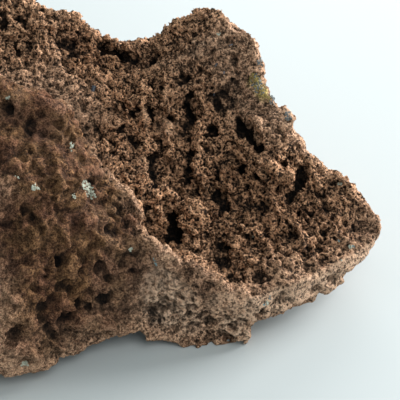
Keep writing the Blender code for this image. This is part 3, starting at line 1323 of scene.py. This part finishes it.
def new_material(name: str, roughness: float) -> tuple[bpy.types.Material, Graph, bpy.types.NodeInputs]:
    """Starts a material.

    Args:
        name: what it is.
        roughness: its one value.

    Returns:
        The material, its graph and its shader's inputs.
    """
    material = bpy.data.materials.new(name)
    material.use_nodes = True
    shader = material.node_tree.nodes["Principled BSDF"].inputs
    shader["Roughness"].default_value = roughness
    return material, Graph(material.node_tree), shader


@dataclass(frozen=True)
class ScoriaFinish:
    """The rock's finish: pitted stone whose crust, froth, rim and lichen differ in colour, with painted
    shade and highlights.

    Attributes:
        crust: light tone of the weathered crust.
        froth: light tone of the broken froth.
        crust_shade: dark tone of the crust.
        froth_shade: dark tone of the froth.
        pale_tint: the pale coating on the rim, also laid on the wall's ribs as painted highlight.
        lichen: the lichen's stain.
        roughness: one value, for stone without any shine.
        gloss: its specular level.
        grain_size: size of the finest grain, in millimetres.
        pit_shade: how much light a pore loses.
        sunk_shade: how much light the bottom of a cave loses.
        hollow_shade: how light the small hollows are beside level stone.
        russet: what the brown face, darkened partly by painted shade, keeps of red, green and blue in its
            red parts.
        ochre: the same in its yellow parts.
        most_light: the most that the painted highlights may lighten the stone beside its tint.
    """

    crust: Tint = Tint(212, 171, 139)
    froth: Tint = Tint(232, 179, 138)
    crust_shade: Tint = Tint(103, 71, 51)
    froth_shade: Tint = Tint(86, 58, 39)
    pale_tint: Tint = Tint(200, 167, 140)
    lichen: Tint = Tint(176, 168, 84)
    roughness: float = 0.92
    gloss: float = 0.2
    grain_size: float = 0.62
    pit_shade: float = 0.9
    sunk_shade: float = 0.9
    hollow_shade: float = 0.6
    russet: tuple[float, float, float] = (0.38, 0.29, 0.255)
    ochre: tuple[float, float, float] = (0.36, 0.305, 0.215)
    most_light: float = 1.55

    def make(self) -> bpy.types.Material:
        """Builds the material.

        Returns:
            The rock's material.
        """
        material, graph, shader = new_material("scoria", self.roughness)
        place = graph.object_place()
        grain = graph.noise(place, self.grain_size, detail=3.0, roughness=0.75)
        deep = self.pore_depth(graph, place)
        colour = graph.vector("MULTIPLY", self.tinted(graph, place, grain), self.browned_and_shaded(graph, place))
        # The painted light and shade go into the base colour here.
        kept = graph.math("MINIMUM", self.kept_light(graph, place, grain, deep), self.most_light)
        graph.tree.links.new(graph.scaled(colour, kept), shader["Base Color"])
        shader["Specular IOR Level"].default_value = self.gloss
        pores = graph.product(deep, graph.total(-1.2, (graph.attribute("worn"), 0.5)))
        height = graph.total(pores, (grain, 1.1))
        bump = graph.node("ShaderNodeBump", {"Strength": 1.0, "Distance": MM, "Height": height})
        graph.tree.links.new(bump[0], shader["Normal"])
        return material

    def pore_depth(self, graph: Graph, place: Socket) -> Socket:
        """Depth of the pores that are finer than the mesh, in three sizes."""
        fine = graph.bubbles(graph.warped(place, size=0.6, reach=0.4), size=1.15, least=0.16, most=0.58)
        middle = graph.bubbles(graph.warped(place, size=0.9, reach=0.7), size=1.8, least=-0.1, most=0.45)
        wide = graph.bubbles(graph.warped(place, size=1.3, reach=1.0), size=3.0, least=-0.25, most=0.34)
        return graph.math("MAXIMUM", graph.math("MAXIMUM", fine, middle), wide)

    def tinted(self, graph: Graph, place: Socket, grain: Socket) -> Socket:
        """The stone in even light: crust or froth, the rim's pale coat with painted highlight on the ribs,
        and the lichen's stain.

        Args:
            graph: the material's graph.
            place: coordinates in millimetres.
            grain: the finest noise.

        Returns:
            The colour.
        """
        blotch = graph.speckle(place, size=6.0, low=0.32, high=0.68)
        tone = graph.total(graph.product(blotch, 0.32), (graph.span(grain, 0.42, 0.61), 0.68))
        crust = graph.mix(tone, self.crust_shade.linear, self.crust.linear)
        froth = graph.mix(tone, self.froth_shade.linear, self.froth.linear)
        colour = graph.mix(graph.attribute("broken"), crust, froth)
        fleck = graph.speckle(place, size=2.4, low=0.35, high=0.6)
        beds = graph.speckle(rim_beds(graph, place), size=1.4, low=0.3, high=0.55)
        fleck = graph.blend(graph.attribute("bedded"), fleck, graph.total(0.1, (beds, 0.8)))
        for zone, full, cover_tint in (("pale", 0.7, self.pale_tint), ("lichen", 0.8, self.lichen)):
            cover = graph.product(graph.span(graph.attribute(zone), 0.1, full), fleck)
            colour = graph.mix(cover, colour, cover_tint.linear)
        return colour

    def browned_and_shaded(self, graph: Graph, place: Socket) -> Socket:
        """What the brown face, partly painted shade, keeps of each colour, and all of it elsewhere."""
        kind = graph.speckle(place, size=13.0, low=0.4, high=0.6)
        patchy = graph.total(0.75, (graph.speckle(place, size=5.0, low=0.35, high=0.65), 0.45))
        brown_and_shade = graph.scaled(graph.mix(kind, (*self.russet, 1.0), (*self.ochre, 1.0)), patchy)
        # Painted shade with the brown: the zone darkens the colour as well as browning it.
        return graph.mix(graph.attribute("umber"), (1.0, 1.0, 1.0, 1.0), brown_and_shade)

    def kept_light(self, graph: Graph, place: Socket, grain: Socket, deep: Socket) -> Socket:
        """Painted light and shade, as a share of the colour: shade in pores, caves and cuts, highlights on
        rises and grains.

        Args:
            graph: the material's graph.
            place: coordinates in millimetres.
            grain: the finest noise, which makes the pores' edges uneven.
            deep: depth of the pores.

        Returns:
            The share; above 1 on grains that stand proud, where it paints a highlight.
        """
        broken, worn, cave = graph.attribute("broken"), graph.attribute("worn"), graph.attribute("cave")
        # Painted shade: the colour is darkened in the pores.
        pit = graph.span(graph.math("ADD", deep, graph.total(-0.4, (grain, 0.8))), 0.02, 0.24)
        openness = graph.total(0.8, (broken, 0.2), (worn, -0.3))
        kept = graph.total(1.0, (pit, graph.product(openness, -self.pit_shade)))
        # Painted shade at the bottom of wide hollows.
        sunk = graph.span(cave, -2.3, -0.2, start=1.0 - self.sunk_shade, end=1.0)
        # Painted highlight on wide rises.
        raised = graph.span(cave, 0.2, 2.0, start=1.0, end=1.5)
        # Painted shade in the cuts that lie deep below the skin.
        deep_cut_shade = graph.span(graph.attribute("depth"), 2.0, 6.0, start=1.0, end=0.3)
        # Painted highlight on grains that stand proud, and painted shade in the small hollows between them.
        highlight_and_shade = graph.span(graph.attribute("proud"), -0.35, 0.5, start=self.hollow_shade, end=1.5)
        # Light and dark specks: partly the grain's own tone, partly painted glints and painted shade on
        # facets finer than the mesh.
        glint_specks = graph.speckle(place, size=1.5, low=0.38, high=0.62)
        specks_and_glints = graph.blend(broken, graph.total(0.42, (glint_specks, 1.3)), graph.total(0.05, (glint_specks, 2.6)))
        highlight_and_shade, specks_and_glints = (graph.blend(worn, part, graph.math("SQRT", part)) for part in (highlight_and_shade, specks_and_glints))
        return graph.product(kept, sunk, raised, deep_cut_shade, highlight_and_shade, specks_and_glints)


@dataclass(frozen=True)
class SpeckFinish:
    """The finish of one kind of growth: two tones that meet in specks.

    Attributes:
        name: the material's name.
        light: tone of the specks.
        dark: tone between them.
        roughness: one value for both.
        size: size of the specks in millimetres.
    """

    name: str
    light: Tint
    dark: Tint
    roughness: float = 0.8
    size: float = 0.9

    def make(self) -> bpy.types.Material:
        """Builds the material."""
        material, graph, shader = new_material(self.name, self.roughness)
        specks = graph.speckle(graph.object_place(), self.size, low=0.38, high=0.6)
        colour = graph.mix(specks, self.dark.linear, self.light.linear)
        graph.tree.links.new(colour, shader["Base Color"])
        return material


# ---------------------------------------------------------------- growths on the rock


class Shape(Enum):
    """Half sizes of one growth beside its length: across, across, and up from the stone."""

    FLAKE = (1.0, 0.8, 0.4)
    GRANULE = (1.0, 0.9, 0.8)
    LATH = (0.5, 1.0, 0.5)


@dataclass(frozen=True)
class Cluster:
    """Growths that lie together in an oval patch of the rock.

    Attributes:
        at: view coordinate of its middle.
        wide: its width in view pixels.
        tall: its height in view pixels.
        count: how many lie in it.
        lean: degrees that its long side leans to the right.
    """

    at: Pixel
    wide: float = 1.0
    tall: float = 1.0
    count: int = 1
    lean: float = 0.0

    def spots(self, chance: np.random.Generator) -> list[Pixel]:
        """View coordinates of its growths, close together in the middle.

        Args:
            chance: source of the scatter.

        Returns:
            One coordinate for each growth; a single growth lies in the middle.
        """
        if self.count == 1:
            return [self.at]
        turn = chance.uniform(0.0, math.tau, self.count)
        reach = chance.uniform(0.0, 1.0, self.count) ** 0.6 / 2
        across = self.wide * reach * np.cos(turn)
        down = self.tall * reach * np.sin(turn)
        lean = math.radians(self.lean)
        right = self.at[0] + across * math.cos(lean) - down * math.sin(lean)
        low = self.at[1] + across * math.sin(lean) + down * math.cos(lean)
        return [(float(u), float(v)) for u, v in zip(right, low)]


@dataclass(frozen=True)
class Growth:
    """One kind of mineral or lichen, joined as one mesh whose parts all sit in the stone.

    Attributes:
        name: the piece's name.
        shape: what each part looks like.
        least: half length of the smallest part in millimetres.
        most: half length of the largest.
        finish: its finish.
        clusters: where it lies.
        seed: picks the scatter.
        waves: how often a flake's skin waves in each millimetre.
        uneven: how far that moves it, as a share of the half length.
    """

    name: str
    shape: Shape
    least: float
    most: float
    finish: SpeckFinish
    clusters: tuple[Cluster, ...]
    seed: int
    waves: float = 1.7
    uneven: float = 0.5

    def grow(self, surface: BVHTree) -> bpy.types.Object:
        """Lays every part on the rock.

        Args:
            surface: tree of the finished rock, in millimetres.

        Returns:
            The piece, in millimetres.
        """
        build = bmesh.new()
        chance = np.random.default_rng(self.seed)
        for cluster in self.clusters:
            for spot in cluster.spots(chance):
                size = float(chance.uniform(self.least, self.most))
                spin = cluster.lean if self.shape is Shape.LATH else float(chance.uniform(0.0, 360.0))
                place, normal = VIEW.hit(surface, spot)
                self.lay(build, Matrix.Translation(place) @ self.turned(normal, spin), size)
        return made_object(self.name, build)

    def turned(self, normal: Vector, spin: float) -> Matrix:
        """A turn that stands a part up from the stone.

        Args:
            normal: the stone's normal.
            spin: degrees that its long side leans to the right, seen in the view.

        Returns:
            The turn, whose y axis is the part's long side.
        """
        right, up, _ = (Vector(axis) for axis in VIEW.axes)
        lean = math.radians(spin)
        across = (up * math.cos(lean) + right * math.sin(lean)).cross(normal).normalized()
        return Matrix((across, normal.cross(across), normal)).transposed().to_4x4()

    def lay(self, build: bmesh.types.BMesh, stand: Matrix, size: float) -> None:
        """Adds one part, made uneven so that no two are alike.

        Args:
            build: the piece's mesh so far.
            stand: where it stands and how it is turned.
            size: its half length in millimetres.
        """
        stretch = Matrix.Diagonal((*(size * side for side in self.shape.value), 1.0))
        if self.shape is Shape.LATH:
            long_way = Matrix.Rotation(math.radians(90.0), 4, "X")
            bmesh.ops.create_cone(build, segments=6, radius1=1.0, radius2=0.7, depth=2.0, cap_ends=True,
                                  matrix=stand @ stretch @ long_way)
            return
        made = bmesh.ops.create_icosphere(build, subdivisions=2, radius=1.0, matrix=stand @ stretch)
        for vert in made["verts"]:
            vert.co += noise.noise_vector(vert.co * self.waves) * size * self.uneven


WHITE = SpeckFinish("white mineral", Tint(178, 180, 162), Tint(134, 136, 120))
CRYSTAL = SpeckFinish("blue crystal", Tint(92, 98, 108), Tint(38, 42, 50), 0.35)
TEAL = SpeckFinish("teal mineral", Tint(134, 152, 150), Tint(84, 104, 106), 0.6)
YELLOW_LICHEN = SpeckFinish("yellow lichen", Tint(164, 144, 84), Tint(114, 98, 58), 0.9)
GREY_LICHEN = SpeckFinish("grey lichen", Tint(128, 132, 130), Tint(84, 90, 92), 0.9)

GROWTHS: tuple[Growth, ...] = (
    Growth("white_mineral", Shape.FLAKE, 0.3, 0.62, WHITE, (
        Cluster((89, 191), 9, 21, 62, -28.0),
        Cluster((85, 183), 6, 7, 14),
        Cluster((35, 187), 10, 7, 26, 20.0),
        Cluster((74, 196), 4, 6, 8),
        Cluster((72, 147), 4, 10, 10),
        Cluster((16, 178), 5, 5, 5),
        Cluster((8, 98), 3, 4, 5),
        Cluster((131, 250), 4, 4, 7),
        Cluster((25, 364), 8, 6, 16),
        Cluster((350, 247), 4, 5, 7),
        Cluster((341, 260), 2, 3, 3),
        Cluster((340, 184), 6, 3, 7),
        Cluster((253, 237), 2, 2, 2),
        Cluster((219, 35), 4, 5, 5),
        Cluster((267, 303), 3, 4, 5),
    ), 31),
    Growth("blue_crystals", Shape.LATH, 1.7, 1.9, CRYSTAL, (
        Cluster((93, 90), lean=14.0),
    ), 41),
    Growth("blue_grains", Shape.LATH, 0.6, 0.8, CRYSTAL, (
        Cluster((214, 94), lean=-10.0),
        Cluster((224, 73), lean=8.0),
        Cluster((216, 65), lean=30.0),
        Cluster((231, 45), lean=60.0),
    ), 42),
    Growth("teal_mineral", Shape.FLAKE, 0.2, 0.5, TEAL, (
        Cluster((155, 262), 3, 8, 9, -30.0),
        Cluster((265, 305), 3, 5, 6),
        Cluster((270, 298), 3, 4, 4),
        Cluster((354, 246), 3, 4, 4),
        Cluster((339, 241), 2, 4, 3),
        Cluster((267, 84), 4, 5, 6),
    ), 51),
    Growth("yellow_lichen", Shape.GRANULE, 0.22, 0.5, YELLOW_LICHEN, (
        Cluster((254, 80), 9, 15, 44),
        Cluster((261, 90), 12, 20, 50, -30.0),
        Cluster((266, 98), 8, 9, 14, -30.0),
    ), 61),
    Growth("grey_lichen", Shape.FLAKE, 0.25, 0.6, GREY_LICHEN, (
        Cluster((258, 84), 14, 22, 60, -24.0),
        Cluster((272, 100), 8, 12, 20, -30.0),
        Cluster((288, 116), 8, 10, 20),
        Cluster((260, 62), 5, 14, 16),
    ), 71),
)


# ---------------------------------------------------------------- the studio


@dataclass(frozen=True)
class Lamp:
    """A large square lamp that faces the rock.

    Attributes:
        name: which lamp it is.
        around: degrees round from the right, anticlockwise seen from above.
        height: degrees above the floor.
        power: its power in watts.
        side: its side in metres.
        away: its distance in metres.
    """

    name: str
    around: float
    height: float
    power: float
    side: float = 1.8
    away: float = 3.0

    def hang(self) -> None:
        """Adds the lamp to the scene."""
        turn, lift = math.radians(self.around), math.radians(self.height)
        aim = Vector((math.cos(lift) * math.cos(turn), math.cos(lift) * math.sin(turn), math.sin(lift)))
        light = bpy.data.lights.new(self.name, "AREA")
        light.energy = self.power
        light.size = self.side
        lamp = new_object(self.name, light)
        lamp.location = aim * self.away
        lamp.rotation_mode = "QUATERNION"
        lamp.rotation_quaternion = (-aim).to_track_quat("-Z", "Y")


LAMPS: tuple[Lamp, ...] = (
    Lamp("key", 32.0, 20.0, 190.0),
    Lamp("back", 80.0, 16.0, 60.0),
    Lamp("front fill", 300.0, 50.0, 37.0),
)


@dataclass
class Studio:
    """The pale floor and the soft light.

    Attributes:
        floor_side: the floor's side in metres.
        floor_tint: its colour.
        floor_roughness: its roughness.
        sky: colour of the surrounding light.
        sky_strength: its strength.
        lamps: the lamps.
    """

    floor_side: float = 12.0
    floor_tint: Tint = Tint(187, 193, 193)
    floor_roughness: float = 0.6
    sky: tuple[float, float, float, float] = (0.80, 0.95, 0.98, 1.0)
    sky_strength: float = 0.44
    lamps: tuple[Lamp, ...] = LAMPS

    def build(self) -> None:
        """Makes the floor, the lamps and the surrounding light."""
        self.floor()
        for lamp in self.lamps:
            lamp.hang()
        world = bpy.data.worlds.new("studio")
        world.use_nodes = True
        back = world.node_tree.nodes["Background"]
        back.inputs["Color"].default_value = self.sky
        back.inputs["Strength"].default_value = self.sky_strength
        bpy.context.scene.world = world

    def floor(self) -> None:
        """Lays the floor that the rock stands on."""
        build = bmesh.new()
        bmesh.ops.create_grid(build, x_segments=1, y_segments=1, size=self.floor_side / 2)
        floor = made_object("floor", build)
        material, _, shader = new_material("floor paint", self.floor_roughness)
        shader["Base Color"].default_value = self.floor_tint.linear
        floor.data.materials.append(material)


def main() -> None:
    """Builds the view, the rock and the studio in order."""
    logging.basicConfig(level=logging.INFO, format="%(message)s")
    VIEW.make_camera()
    rock = RockBody().build()
    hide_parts(NODE)
    scoria = ScoriaFinish().make()
    dressed = [(rock, scoria)] + [(grit.grow(rock), scoria) for grit in GRIT]
    surface = tree_of(rock.data)
    dressed += [(growth.grow(surface), growth.finish.make()) for growth in GROWTHS]
    for piece, material in dressed:
        piece.data.transform(Matrix.Scale(MM, 4))
        piece.data.materials.clear()
        piece.data.materials.append(material)
        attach(piece, BODY)
        LOG.info("%s: %d triangles", piece.name, sum(len(face.vertices) - 2 for face in piece.data.polygons))
    Studio().build()
    bpy.context.scene.view_settings.view_transform = "Standard"


if __name__ == "__main__":
    main()
